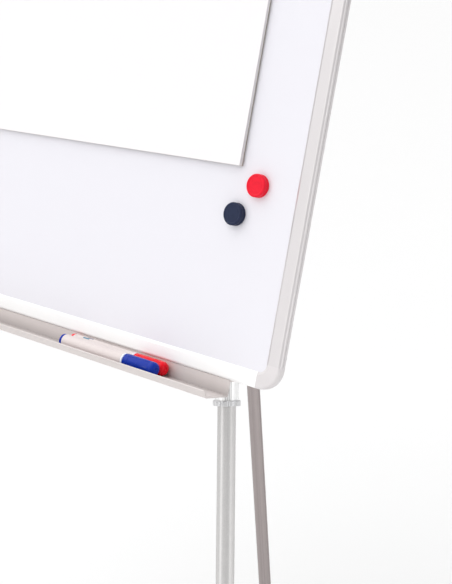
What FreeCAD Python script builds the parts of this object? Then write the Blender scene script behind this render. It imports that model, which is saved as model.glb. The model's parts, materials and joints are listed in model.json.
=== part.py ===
import FreeCAD, Part
import math
import operator
import os
from types import SimpleNamespace

import Sketcher
from FreeCAD import Placement, Rotation, Vector

# Flipchart easel: a framed steel writing board on a telescopic tripod, with its pad clamp, pen tray,
# paper pad, two board magnets and two markers. Millimetres, +Z up, the floor at Z = 0, the writing
# side towards -Y and the origin on the floor under the middle of the easel's footprint.
#
# Two frames carry the geometry. In the board's frame x is to the right, y goes back from the frame's
# front face and z goes up along the board from its lower edge. In a leg's frame z runs up the leg's
# axis from its pivot and y lies along the pivot.

DIMENSIONS = {
    # the board as a whole
    "board_width": 700, "board_height": 1000, "board_tilt": 15.3, "board_lift": 800, "board_front": -138.9,
    # frame rails and their corner caps
    "rail_face": 16.5, "rail_depth": 11, "rail_wall": 1.6, "rail_round": 3, "rail_back_round": 3.5,
    "rail_lip": 13.5, "bevel_width": 2.4, "bevel_deep": 1.1, "screw_line": 5.4,
    "groove_start": 4.6, "groove_width": 0.6, "groove_deep": 0.35,
    "cap_leg": 25.5, "cap_round": 23, "cap_inner_round": 8, "spigot_length": 18, "spigot_gap": 0.2,
    # the sandwich panel that the rails hold by its edges
    "panel_inset": 8, "panel_recess": 1.5, "face_sheet": 0.5, "core_thick": 7.2, "back_sheet": 0.4,
    # pen tray, an open-ended extrusion screwed under the bottom rail
    "tray_length": 585, "tray_wall": 1.6, "tray_drop": 15.5, "tray_back": 3, "tray_floor": 30,
    "tray_lip_reach": 5.2, "tray_lip_rise": 6.6, "tray_flange": 9.5,
    # self-tapping pan-head screws
    "screw_shank": 3, "screw_head": 6.4, "screw_head_height": 2.2, "screw_length": 8,
    # pad clamp across the top of the board
    "clamp_length": 562, "clamp_bottom": 967, "clamp_top": 983.4, "clamp_face": 6.5, "clamp_wall": 1.5,
    "clamp_slot": 1.5, "bracket_width": 12, "bracket_tab": 13,
    "hinge_reach": 12, "hinge_height": 979, "hinge_rod": 4, "knuckle": 9.2, "bar_wall": 1.8,
    "bar_bottom": 932, "bar_foot": 8, "bar_lip": 6, "strip_height": 6,
    # sliding pad hooks
    "hook_spacing": 400, "hook_width": 16, "hook_sheet": 0.8, "hook_bottom": 941, "hook_height": 950,
    "hook_pin": 6, "hook_reach": 7,
    # paper pad
    "pad_width": 526, "pad_bottom": 209.5, "pad_top": 965, "pad_gap": 1, "pad_card": 0.7, "pad_sheets": 3.5,
    "pad_hole": 7,
    # board magnets
    "magnet_width": 23, "magnet_height": 7.5, "magnet_round": 1.4, "magnet_disc": 18,
    "magnet_disc_height": 2.4, "magnet_dish": 8.6, "magnet_dish_deep": 0.5, "magnet_waist": 0.5,
    # markers
    "marker_width": 15, "marker_length": 140.5, "marker_cap": 44, "marker_cap_width": 15.2, "marker_tail": 4,
    "marker_neck": 11.6, "marker_neck_length": 22, "marker_wall": 1.4, "nib_width": 5, "nib_reach": 9,
    # telescopic legs
    "leg_pivot_height": 905, "leg_pivot_spacing": 147, "leg_plane": 34, "leg_splay": 11.8,
    "rear_pivot_plane": 66, "rear_lean": 5.5,
    "tube_width": 24, "tube_wall": 1.5, "tube_top": 20, "tube_length": 935,
    "flute_width": 0.5, "flute_deep": 0.35, "flute_pitch": 2,
    "collar_width": 28.6, "collar_height": 5.5, "collar_cover": 2, "collar_gap": 0.1,
    "scallop_round": 2.6, "scallop_deep": 0.8,
    "collet_length": 40, "collet_flange": 1.2, "collet_slit": 1.2, "slide_gap": 0.05,
    "inner_width": 19, "inner_wall": 1.2, "inner_length": 904, "inner_end": 12,
    "bush_head": 12, "bush_spigot": 22, "foot_width": 26, "foot_top_width": 22.6, "foot_height": 34,
    # leg fittings and the head that they turn in
    "eye_width": 26, "eye_round": 26, "plug_depth": 35, "pivot_play": 0.3,
    "bolt_width": 6, "bolt_length": 39, "bolt_head": 10.5, "bolt_head_height": 3.3, "bolt_socket": 4,
    "nut_across": 10, "nut_height": 5,
    "head_width": 224, "head_bottom": 870, "head_top": 945, "head_web": 6,
    "head_back": 4, "head_back_bottom": 884,
    "lug_thick": 3.5, "lug_round": 30,
    # saddles that stop and steady the front legs
    "guide_height": 62, "guide_length": 40, "guide_wall": 4.5, "guide_flange": 3, "guide_tab": 9,
}


class Size:
    """A number together with the spreadsheet expression that gives it."""

    def __init__(self, value, text):
        self.value = value
        self.text = text

    def __add__(self, other):
        return join(operator.add, "+", self, other)

    def __radd__(self, other):
        return join(operator.add, "+", other, self)

    def __sub__(self, other):
        return join(operator.sub, "-", self, other)

    def __rsub__(self, other):
        return join(operator.sub, "-", other, self)

    def __mul__(self, other):
        return join(operator.mul, "*", self, other)

    def __rmul__(self, other):
        return join(operator.mul, "*", other, self)

    def __truediv__(self, other):
        return join(operator.truediv, "/", self, other)

    def __neg__(self):
        return join(operator.sub, "-", 0, self)


def as_size(number):
    return number if isinstance(number, Size) else Size(number, f"({number})")


def join(work, sign, left, right):
    left, right = as_size(left), as_size(right)
    return Size(work(left.value, right.value), f"({left.text} {sign} {right.text})")


doc = FreeCAD.newDocument("flipchart_easel")
sheet = doc.addObject("Spreadsheet::Sheet", "dims")
d = SimpleNamespace()
for row, (alias, number) in enumerate(DIMENSIONS.items(), start=1):
    sheet.set(f"A{row}", alias)
    sheet.set(f"B{row}", str(number))
    sheet.setAlias(f"B{row}", alias)
    setattr(d, alias, Size(number, f"dims.{alias}"))
doc.recompute()

RIGHT, BACK, UP = Vector(1, 0, 0), Vector(0, 1, 0), Vector(0, 0, 1)
FRONT, DOWN = Vector(0, -1, 0), Vector(0, 0, -1)
nodes = {}


# ---------------------------------------------------------------- helpers

def point(x, y, z):
    return Vector(*(as_size(value).value for value in (x, y, z)))


def bind(thing, **sizes):
    for name, size in sizes.items():
        thing.setExpression(name, as_size(size).text)


def move(thing, start):
    for axis, value in zip("xyz", start):
        thing.setExpression(f"Placement.Base.{axis}", as_size(value).text)
    return thing


def box(start, span):
    block = doc.addObject("Part::Box", "block")
    bind(block, Length=span[0], Width=span[1], Height=span[2])
    return move(block, start)


def cylinder(start, direction, radius, length):
    rod = doc.addObject("Part::Cylinder", "rod")
    rod.Placement = Placement(Vector(), Rotation(UP, direction))
    bind(rod, Radius=radius, Height=length)
    return move(rod, start)


def hexagon(start, direction, across, length):
    prism = doc.addObject("Part::Prism", "hexagon")
    prism.Polygon = 6
    prism.Placement = Placement(Vector(), Rotation(UP, direction))
    bind(prism, Circumradius=across / math.sqrt(3), Height=length)
    return move(prism, start)


def fuse(*pieces):
    joined = doc.addObject("Part::MultiFuse", "fuse")
    joined.Shapes = list(pieces)
    joined.Refine = True
    return joined


def cut(base, *tools):
    carved = doc.addObject("Part::Cut", "cut")
    carved.Base = base
    carved.Tool = tools[0] if len(tools) == 1 else fuse(*tools)
    return carved


def node(label, thing, place):
    """Name a finished sub-part and put it in place; a bare primitive is wrapped so that it can move."""
    if thing.TypeId in ("Part::Box", "Part::Cylinder"):
        wrap = doc.addObject("Part::Compound", "wrap")
        wrap.Links = [thing]
        thing = wrap
    thing.Label = label
    thing.Placement = place
    nodes[label] = thing
    return thing


def group(label, pattern, places):
    """Identical loose pieces: one node that holds a copy of the pattern's solid at each place."""
    doc.recompute()
    copies = []
    for place in places:
        piece = pattern.Shape.copy()
        piece.Placement = place
        copies.append(piece)
    gathered = doc.addObject("Part::Feature", label)
    gathered.Shape = Part.Compound(copies)
    nodes[label] = gathered
    return gathered


def sketch_on(body, plane_role):
    sketch = body.newObject("Sketcher::SketchObject", "outline")
    plane = [item for item in body.Origin.OriginFeatures if item.Role == plane_role][0]
    sketch.AttachmentSupport = [(plane, "")]
    sketch.MapMode = "FlatFace"
    return sketch


def constrain(sketch, size, *rule):
    index = sketch.addConstraint(Sketcher.Constraint(*rule, size.value))
    sketch.setExpression(f"Constraints[{index}]", size.text)


def arc_between(start, end, radius, turn):
    """The arc under half a turn from start to end; turn is +1 anticlockwise and -1 clockwise."""
    chord = end - start
    rise = math.sqrt(max(radius ** 2 - chord.Length ** 2 / 4, 0))
    centre = (start + end) / 2 + Vector(-chord.y, chord.x, 0).normalize() * rise * turn
    first, last = (start, end) if turn > 0 else (end, start)
    angles = [math.atan2(at.y - centre.y, at.x - centre.x) for at in (first, last)]
    circle = Part.Circle(centre, UP, radius)
    return Part.ArcOfCircle(circle, angles[0], angles[1])


def draw(sketch, path):
    """A closed outline. (x, y) is a straight run to that point; (x, y, radius, turn) is an arc to it."""
    corners = [tuple(as_size(value) for value in step[:2]) for step in path]
    flat = [Vector(x.value, y.value, 0) for x, y in corners]
    ends = []
    for index, step in enumerate(path):
        start, end = flat[index - 1], flat[index]
        if len(step) == 2:
            edge = sketch.addGeometry(Part.LineSegment(start, end), False)
            ends.append((edge, 1, 2))
        else:
            radius, turn = as_size(step[2]), step[3]
            edge = sketch.addGeometry(arc_between(start, end, radius.value, turn), False)
            ends.append((edge, 1, 2) if turn > 0 else (edge, 2, 1))
            constrain(sketch, radius, "Radius", edge)
    for index, (edge, first, last) in enumerate(ends):
        following, its_first, _ = ends[(index + 1) % len(ends)]
        sketch.addConstraint(Sketcher.Constraint("Coincident", edge, last, following, its_first))
        constrain(sketch, corners[index][0], "DistanceX", -1, 1, edge, last)
        constrain(sketch, corners[index][1], "DistanceY", -1, 1, edge, last)


def pad_body(path, length):
    """A solid of the outline in the XY plane, raised along +Z."""
    body = doc.addObject("PartDesign::Body", "profile")
    sketch = sketch_on(body, "XY_Plane")
    draw(sketch, path)
    pad = body.newObject("PartDesign::Pad", "pad")
    pad.Profile = sketch
    bind(pad, Length=length)
    return body


def turned_body(path):
    """A solid of revolution about Z of an outline given as (radius, height)."""
    body = doc.addObject("PartDesign::Body", "turned")
    sketch = sketch_on(body, "XZ_Plane")
    draw(sketch, path)
    spin = body.newObject("PartDesign::Revolution", "spin")
    spin.Profile = sketch
    spin.ReferenceAxis = (sketch, ["V_Axis"])
    spin.Angle = 360
    return body


def round_edges(body, radius, chosen):
    """Fillet the edges of the body's present solid whose middle passes the test."""
    doc.recompute()
    base = body.Tip
    names = [f"Edge{index}" for index, edge in enumerate(base.Shape.Edges, 1) if chosen(edge.CenterOfMass)]
    fillet = body.newObject("PartDesign::Fillet", "rounding")
    fillet.Base = (base, names)
    bind(fillet, Radius=radius)
    body.Tip = fillet


def bevel_edges(body, width, deep, chosen):
    """Chamfer the top edges whose middle passes the test: width across the face and deep down the side."""
    doc.recompute()
    base = body.Tip
    names = [f"Edge{index}" for index, edge in enumerate(base.Shape.Edges, 1) if chosen(edge.CenterOfMass)]
    chamfer = body.newObject("PartDesign::Chamfer", "bevel")
    chamfer.Base = (base, names)
    chamfer.ChamferType = "Two distances"
    bind(chamfer, Size=width, Size2=deep)
    body.Tip = chamfer


def facing(x_direction, y_direction, start):
    """The placement that lays a body's X and Y along these directions."""
    return Placement(start, Rotation(x_direction, y_direction, x_direction.cross(y_direction), "XYZ"))


# ---------------------------------------------------------------- where the board and the legs stand

half_width = d.board_width / 2
board = Placement(point(0, d.board_front, d.board_lift), Rotation(RIGHT, -d.board_tilt.value))


def on_board(place):
    return board.multiply(place)


def across(right_end):
    """Sketch x towards the viewer, sketch y up the board, the length running left from right_end."""
    return on_board(facing(FRONT, UP, point(right_end, 0, 0)))


def front_leg_place(side):
    pivot = point(side * d.leg_pivot_spacing / 2, d.leg_plane, d.leg_pivot_height)
    return on_board(Placement(pivot, Rotation(BACK, -side * d.leg_splay.value)))


def rear_leg_place():
    pivot = board.multVec(point(0, d.rear_pivot_plane, d.leg_pivot_height))
    lean = math.radians(d.rear_lean.value)
    upward = Vector(0, -math.sin(lean), math.cos(lean))
    return facing(RIGHT.cross(upward), RIGHT, pivot)


# ---------------------------------------------------------------- board: frame and corners

panel_back = d.panel_recess + d.face_sheet + d.core_thick + d.back_sheet


def rail_outline():
    """Channel section: x inwards from the outer edge, y back from the front face, bevelled to the panel."""
    groove_end = d.groove_start + d.groove_width
    return [
        (d.rail_face, d.bevel_deep), (d.rail_face - d.bevel_width, 0), (d.rail_round, 0),
        (0, d.rail_round, d.rail_round, -1), (0, d.groove_start), (d.groove_deep, d.groove_start),
        (d.groove_deep, groove_end), (0, groove_end), (0, d.rail_depth - d.rail_back_round),
        (d.rail_back_round, d.rail_depth, d.rail_back_round, -1),
        (d.rail_lip, d.rail_depth), (d.rail_lip, panel_back), (d.rail_wall, panel_back),
        (d.rail_wall, d.panel_recess), (d.rail_face, d.panel_recess),
    ]


corner_screw_reach = d.cap_leg + d.spigot_length / 2


def frame_rail(label, inward, start, length, extra_holes=()):
    """A rail between two corner caps, drilled through its back lip for the corner screws."""
    rail = pad_body(rail_outline(), length)
    drop = corner_screw_reach - d.cap_leg
    through = d.screw_shank / 2
    holes = [cylinder((d.screw_line, panel_back - 1, along), BACK, through, d.rail_depth - panel_back + 2)
             for along in (drop, length - drop)]
    holes += [cylinder((-1, depth, along), RIGHT, through, d.rail_wall + 2) for depth, along in extra_holes]
    node(label, cut(rail, *holes), on_board(facing(inward, BACK, start)))


def tray_screw_spots():
    """Distances of the tray's screws from the middle of the board."""
    reach = d.tray_length / 2 - 40
    return [-reach, -reach / 3, reach / 3, reach]


tray_screw_depth = d.tray_back + (d.tray_flange - d.tray_back) / 2
short_rail = d.board_width - 2 * d.cap_leg
long_rail = d.board_height - 2 * d.cap_leg
LEFT = Vector(-1, 0, 0)
frame_rail("frame_left", RIGHT, point(-half_width, 0, d.cap_leg), long_rail)
frame_rail("frame_right", LEFT, point(half_width, 0, d.board_height - d.cap_leg), long_rail)
frame_rail("frame_top", DOWN, point(d.cap_leg - half_width, 0, d.board_height), short_rail)
frame_rail("frame_bottom", UP, point(half_width - d.cap_leg, 0, 0), short_rail,
           [(tray_screw_depth, short_rail / 2 + spot) for spot in tray_screw_spots()])


def corner_cap(label, inward_x, inward_y, corner):
    """A moulded corner that clips round the panel, with a spigot into each rail; its z faces forward."""
    inner = d.rail_face + d.cap_inner_round
    cap = pad_body([
        (d.cap_leg, 0), (d.cap_leg, d.rail_face), (inner, d.rail_face),
        (d.rail_face, inner, d.cap_inner_round, -1), (d.rail_face, d.cap_leg), (0, d.cap_leg),
        (0, d.cap_round), (d.cap_round, 0, d.cap_round, 1),
    ], d.rail_depth)
    reach = d.cap_round.value / 2

    def outer_edge(middle, level):
        near, far = sorted((middle.x, middle.y))
        return abs(middle.z - level) < 0.01 and (near < 0.01 or far < reach)

    def front_edge(middle):
        return outer_edge(middle, d.rail_depth.value)

    def back_edge(middle):
        return outer_edge(middle, 0)

    def inner_edge(middle):
        near, far = sorted((middle.x, middle.y))
        on_face = middle.z > d.rail_depth.value - 0.01
        return on_face and near > d.rail_face.value - 0.01 and far < d.cap_leg.value - 0.01

    round_edges(cap, d.rail_round - 0.2, front_edge)
    round_edges(cap, d.rail_back_round - 0.2, back_edge)
    bevel_edges(cap, d.bevel_width, d.bevel_deep, inner_edge)
    back_lip = d.rail_depth - panel_back
    slot = panel_back - d.panel_recess
    recess = box((d.panel_inset, d.panel_inset, back_lip), (d.cap_leg, d.cap_leg, slot))
    clear = d.spigot_gap
    thick = d.panel_inset - d.rail_wall - 2 * clear
    overlap = 4
    spigots = []
    holes = []
    for along_x in (True, False):
        start = (d.cap_leg - overlap, d.rail_wall + clear)
        span = (d.spigot_length + overlap, thick)
        hole = (corner_screw_reach, d.screw_line)
        if not along_x:
            start, span, hole = start[::-1], span[::-1], hole[::-1]
        spigots.append(box((*start, back_lip + clear), (*span, slot - 2 * clear)))
        holes.append(cylinder((*hole, 0), UP, d.screw_shank / 2, d.screw_length))
    shell = cut(cap, recess)
    start = board.multVec(corner + BACK * d.rail_depth.value)
    turned = board.Rotation.multiply(Rotation(inward_x, inward_y, FRONT, "XYZ"))
    node(label, cut(fuse(shell, *spigots), *holes), Placement(start, turned))


for side, height, label in ((-1, 0, "corner_bottom_left"), (1, 0, "corner_bottom_right"),
                            (1, 1, "corner_top_right"), (-1, 1, "corner_top_left")):
    sideways = RIGHT * -side
    vertical = UP if height == 0 else DOWN
    first, second = (sideways, vertical) if sideways.cross(vertical).y < 0 else (vertical, sideways)
    corner_cap(label, first, second, point(side * half_width, 0, height * d.board_height))


# ---------------------------------------------------------------- pen tray

def pen_tray():
    """Section seen from the right end: x forward from the frame's face, y up the board."""
    floor = -d.tray_drop
    under = floor - d.tray_wall
    front = d.tray_floor
    tip = front + d.tray_lip_reach
    back = -d.tray_back
    outline = [
        (-d.tray_flange, 0), (-d.tray_flange, -d.tray_wall), (back, -d.tray_wall), (back, under + 1.5),
        (back + 1.5, under, 1.5, 1), (front + 0.6, under),
        (tip + d.tray_wall - 0.3, floor + d.tray_lip_rise - 0.7), (tip, floor + d.tray_lip_rise, 0.9, 1),
        (front - 0.2, floor), (back + d.tray_wall, floor), (back + d.tray_wall, 0),
    ]
    tray = pad_body(outline, d.tray_length)
    holes = [cylinder((-tray_screw_depth, -d.tray_wall - 1, d.tray_length / 2 - spot), BACK,
                      d.screw_shank / 2, d.tray_wall + 2) for spot in tray_screw_spots()]
    node("pen_tray", cut(tray, *holes), across(d.tray_length / 2))


pen_tray()


# ---------------------------------------------------------------- pad clamp and pad hooks

def clamp_rail():
    """A channel open downwards, so that the pad hooks can slide along it."""
    top = d.clamp_top - 2 * d.clamp_wall
    lip = d.clamp_bottom + d.clamp_wall
    back = -d.panel_recess
    mouth = back + d.clamp_slot
    inside = d.clamp_face - d.clamp_wall
    rail = pad_body([
        (back, d.clamp_top), (back, top), (inside, top), (inside, lip),
        (mouth, lip), (mouth, d.clamp_bottom), (d.clamp_face, d.clamp_bottom),
        (d.clamp_face, d.clamp_top - 1), (d.clamp_face - 1, d.clamp_top, 1, 1),
    ], d.clamp_length)
    node("clamp_rail", rail, across(d.clamp_length / 2))


def clamp_brackets():
    """Two end brackets that hold the hinge rod, each with a screw tab below."""
    end = d.clamp_length / 2
    tab_bottom = d.clamp_bottom - d.bracket_tab
    hinge = (-d.hinge_reach, d.hinge_height)
    blocks = []
    for side in (-1, 1):
        left = end if side > 0 else -end - d.bracket_width
        bore = end - 1 if side > 0 else -end - d.bracket_width + 2
        screw = side * (end + d.bracket_width / 2)
        block = box((left, -d.clamp_face, d.clamp_bottom - 2),
                    (d.bracket_width, d.clamp_face + d.panel_recess, d.clamp_top - d.clamp_bottom + 2))
        ear = box((left, -d.hinge_reach, d.hinge_height - 5), (d.bracket_width, d.hinge_reach, 9.4))
        nose = cylinder((left, *hinge), RIGHT, 4.7, d.bracket_width)
        tab = box((left, -1, tab_bottom), (d.bracket_width, 1 + d.panel_recess, d.bracket_tab))
        solid = fuse(block, ear, nose, tab)
        holes = (cylinder((bore, *hinge), RIGHT, d.hinge_rod / 2, d.bracket_width - 1),
                 cylinder((screw, -2, tab_bottom + 6), BACK, d.screw_shank / 2, 5))
        blocks.append(cut(solid, *holes))
    pair = doc.addObject("Part::Compound", "pair")
    pair.Links = blocks
    node("clamp_end_brackets", pair, board)


def clamp_bar():
    """The hinged bar: a knuckle on the rod, a web in front of the hook pins and a foot on the pad."""
    length = d.clamp_length - 1
    left = -length / 2
    radius = d.knuckle / 2
    web_back = -d.hinge_reach + radius - 0.9
    web_front = web_back - d.bar_wall
    web = box((left, web_front, d.bar_bottom), (length, d.bar_wall, d.hinge_height - d.bar_bottom))
    knuckle = cylinder((left, -d.hinge_reach, d.hinge_height), RIGHT, radius, length)
    pad_face = d.pad_gap + d.pad_card + d.pad_sheets - d.panel_recess
    strip_face = -(pad_face + d.pivot_play)
    foot_face = strip_face - 1.2
    foot = box((left, web_front, d.bar_bottom), (length, foot_face - web_front, d.bar_foot))
    lip_width = length / 4
    lip = box((-lip_width / 2, web_front - d.bar_lip, d.bar_bottom), (lip_width, d.bar_lip, d.bar_wall))
    bore = cylinder((left - 1, -d.hinge_reach, d.hinge_height), RIGHT,
                    d.hinge_rod / 2 + d.slide_gap, length + 2)
    node("clamp_bar", cut(fuse(web, knuckle, foot, lip), bore), board)
    strip = box((left, foot_face, d.bar_bottom + 1), (length, strip_face - foot_face, d.strip_height))
    node("clamp_grip_strip", strip, board)


def pad_hook(label, side):
    """A sheet-metal slider with a head inside the clamp rail and a pin that carries the pad."""
    middle = side * d.hook_spacing / 2
    left = middle - d.hook_width / 2
    back = d.panel_recess - 0.1
    face = back - d.hook_sheet
    head_bottom = d.clamp_bottom + d.clamp_wall + 0.3
    head_top = d.clamp_top - 2 * d.clamp_wall - 0.3
    head_face = 0.3 + d.clamp_wall - d.clamp_face
    tongue = box((left, face, d.hook_bottom), (d.hook_width, d.hook_sheet, head_top - d.hook_bottom))
    head = box((left, head_face, head_bottom), (d.hook_width, back - head_face, head_top - head_bottom))
    pin = cylinder((middle, face, d.hook_height), FRONT, d.hook_pin / 2, face + d.hook_reach)
    node(label, fuse(tongue, head, pin), board)


clamp_rail()
clamp_brackets()
clamp_bar()
pad_hook("pad_hook_left", -1)
pad_hook("pad_hook_right", 1)
rod_length = d.clamp_length + 2 * d.bracket_width - 4
node("clamp_hinge_rod",
     cylinder((-rod_length / 2, -d.hinge_reach, d.hinge_height), RIGHT, d.hinge_rod / 2, rod_length), board)


# ---------------------------------------------------------------- paper pad

def paper_pad():
    left = -d.pad_width / 2
    height = d.pad_top - d.pad_bottom
    back = d.panel_recess - d.pad_gap
    layers = {"pad_back_card": d.pad_card, "pad_sheets": d.pad_sheets}
    for label, thickness in layers.items():
        back = back - thickness
        sheet_block = box((left, back, d.pad_bottom), (d.pad_width, thickness, height))
        holes = [cylinder((side * d.hook_spacing / 2, back - 1, d.hook_height), BACK,
                          d.pad_hole / 2, thickness + 2) for side in (-1, 1)]
        node(label, cut(sheet_block, *holes), board)


paper_pad()


# ---------------------------------------------------------------- board magnets

def board_magnet(colour, x, height):
    """A waisted plastic cap with a dished face over a magnet disc, its axis forward from the panel."""
    contact = 0.05
    radius, top, edge = d.magnet_width / 2, d.magnet_height, d.magnet_round
    disc = d.magnet_disc / 2
    waist = radius - d.magnet_waist
    dish = top - d.magnet_dish_deep
    cap = turned_body([
        (disc, 0), (radius, 0), (radius, 2), (waist, 2.6), (waist, 3.4), (radius, 4), (radius, top - edge),
        (radius - edge, top, edge, 1), (d.magnet_dish + 0.7, top), (d.magnet_dish, dish), (0, dish),
        (0, d.magnet_disc_height), (disc, d.magnet_disc_height),
    ])
    place = on_board(facing(RIGHT, UP, point(x, d.panel_recess - contact, height)))
    node(f"{colour}_magnet_cap", cap, place)
    node(f"{colour}_magnet_disc", cylinder((0, 0, 0), UP, disc, d.magnet_disc_height), place)


board_magnet("red", 287.5, 193)
board_magnet("navy", 265, 162)


# ---------------------------------------------------------------- markers

def marker(colour, tail_x, depth):
    """A marker lying on the tray floor, its axis to the right: tail plug, barrel, nib and cap."""
    clear = 0.05
    barrel, neck, wall = d.marker_width / 2, d.marker_neck / 2, d.marker_wall
    tail, body_end = d.marker_tail, d.marker_length - d.marker_cap
    neck_end = body_end + d.marker_neck_length
    bore = barrel - wall
    nib = d.nib_width / 2
    lying = on_board(Placement(point(tail_x, -depth, d.marker_cap_width / 2 + 2 * clear - d.tray_drop),
                               Rotation(UP, RIGHT)))
    node(f"{colour}_marker_tail", turned_body([
        (0, 0), (barrel - 1.2, 0), (barrel, 1.2, 1.2, 1), (barrel, tail),
        (bore, tail), (bore, tail + 8), (0, tail + 8),
    ]), lying)
    node(f"{colour}_marker_barrel", turned_body([
        (bore, tail), (barrel, tail), (barrel, body_end), (neck, body_end + 0.8), (neck, neck_end - 6),
        (nib + 1.2, neck_end), (nib, neck_end), (nib, neck_end - 8), (neck - wall, neck_end - 9),
        (neck - wall, body_end - 4), (bore, body_end - 6),
    ]), lying)
    node(f"{colour}_marker_nib", turned_body([
        (0, neck_end - 20), (nib, neck_end - 20), (nib, neck_end + d.nib_reach - 3),
        (0.9, neck_end + d.nib_reach), (0, neck_end + d.nib_reach),
    ]), lying)
    outer, inner = d.marker_cap_width / 2, neck + clear
    round_end = outer - 2.5
    node(f"{colour}_marker_cap", turned_body([
        (inner, body_end + 1), (outer, body_end + 1), (outer, d.marker_length - round_end),
        (outer - round_end, d.marker_length, round_end, 1), (0, d.marker_length),
        (0, neck_end + d.nib_reach + 3),
        (inner - 1, neck_end + d.nib_reach + 1), (inner, neck_end - 6),
    ]), lying)


red_marker_depth = d.tray_wall - d.tray_back + d.marker_cap_width / 2 + 0.1
marker("red", 74.5, red_marker_depth)
marker("blue", 75.5, red_marker_depth + d.marker_cap_width + 0.1)


# ---------------------------------------------------------------- legs

tube, inner_tube = d.tube_width / 2, d.inner_width / 2
tube_bore, inner_bore = tube - d.tube_wall, inner_tube - d.inner_wall
tube_end = -d.tube_top - d.tube_length


def fluted_tube():
    """The upper tube with four clusters of fine flutes, standing on z = 0."""
    body = doc.addObject("PartDesign::Body", "fluted")
    ring = sketch_on(body, "XY_Plane")
    for radius in (tube, tube_bore):
        edge = ring.addGeometry(Part.Circle(Vector(), UP, radius.value), False)
        ring.addConstraint(Sketcher.Constraint("Coincident", edge, 3, -1, 1))
        constrain(ring, radius, "Radius", edge)
    pad = body.newObject("PartDesign::Pad", "wall")
    pad.Profile = ring
    bind(pad, Length=d.tube_length)
    flutes = sketch_on(body, "XY_Plane")
    for step in (-1.5, -0.5, 0.5, 1.5):
        left = step * d.flute_pitch - d.flute_width / 2
        right = left + d.flute_width
        floor = -tube + d.flute_deep
        draw(flutes, [(left, -tube - 1), (right, -tube - 1), (right, floor), (left, floor)])
    pocket = body.newObject("PartDesign::Pocket", "flutes")
    pocket.Profile = flutes
    pocket.Reversed = True
    bind(pocket, Length=d.tube_length)
    doc.recompute()
    pattern = body.newObject("PartDesign::PolarPattern", "clusters")
    pattern.Originals = [pocket]
    pattern.Axis = (flutes, ["N_Axis"])
    pattern.Angle = 360
    pattern.Occurrences = 4
    body.Tip = pattern
    return body


def leg_top(label, place):
    """The moulded end of a leg: an eye for the pivot bolt and a plug in the upper tube."""
    width = d.eye_width
    eye = cylinder((0, -width / 2, 0), BACK, d.eye_round / 2, width)
    neck = cylinder((0, 0, -d.tube_top), UP, tube, d.tube_top - 2)
    plug = cylinder((0, 0, -d.tube_top - d.plug_depth), UP, tube_bore, d.plug_depth)
    bore = cylinder((0, -width / 2 - 1, 0), BACK, d.bolt_width / 2 + d.slide_gap, width + 2)
    node(label, cut(fuse(eye, neck, plug), bore), place)


def collet(label, place):
    """A split bush in the tube's mouth that the collar tightens on the lower tube."""
    bore = inner_tube + d.slide_gap
    body = turned_body([
        (bore, tube_end - d.collet_flange), (tube, tube_end - d.collet_flange), (tube, tube_end),
        (tube_bore, tube_end), (tube_bore, tube_end + d.collet_length), (bore, tube_end + d.collet_length),
    ])
    half = d.collet_slit / 2
    low = tube_end - d.collet_flange - 1
    across_tube, deep = d.tube_width + 2, d.collet_length - 9
    slits = [box((-tube - 1, -half, low), (across_tube, d.collet_slit, deep)),
             box((-half, -tube - 1, low), (d.collet_slit, across_tube, deep))]
    node(label, cut(body, *slits), place)


def locking_collar(label, place):
    """The scalloped twist ring round the tube's end."""
    outside, edge = d.collar_width / 2, 0.6
    top = tube_end + d.collar_cover
    bottom = top - d.collar_height
    shelf = tube_end - d.collet_flange - d.collar_gap
    tube_side, inner_side = tube + d.collar_gap, inner_tube + 2 * d.collar_gap
    ring = turned_body([
        (inner_side, bottom), (outside - edge, bottom), (outside, bottom + edge, edge, 1),
        (outside, top - edge), (outside - edge, top, edge, 1), (tube_side, top), (tube_side, shelf),
        (inner_side, shelf),
    ])
    reach = outside + d.scallop_round - d.scallop_deep
    scallops = []
    for index in range(12):
        angle = math.radians(15 + 30 * index)
        x, y = reach * math.cos(angle), reach * math.sin(angle)
        scallops.append(cylinder((x, y, bottom - 1), UP, d.scallop_round, d.collar_height + 2))
    node(label, cut(ring, *scallops), place)


def foot(label, place, ground):
    """A rubber ferrule on the lower tube, its sole cut flat to the floor; ground is the axis's foot."""
    outside, neck = d.foot_width / 2, d.foot_top_width / 2
    below = ground - 8
    ferrule = turned_body([
        (0, below), (outside, below), (outside, ground + 8), (neck, ground + d.foot_height - 1.5),
        (neck - 1.5, ground + d.foot_height, 1.5, 1), (inner_tube, ground + d.foot_height),
        (inner_tube, ground + d.inner_end), (0, ground + d.inner_end),
    ])
    reach = 60
    slab = doc.addObject("Part::Box", "below_floor")
    slab.Length = slab.Width = 2 * reach
    slab.Height = reach
    contact = place.multVec(point(0, 0, ground))
    level = Placement(Vector(contact.x - reach, contact.y - reach, -reach), Rotation())
    slab.Placement = place.inverse().multiply(level)
    node(label, cut(ferrule, slab), place)


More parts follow.
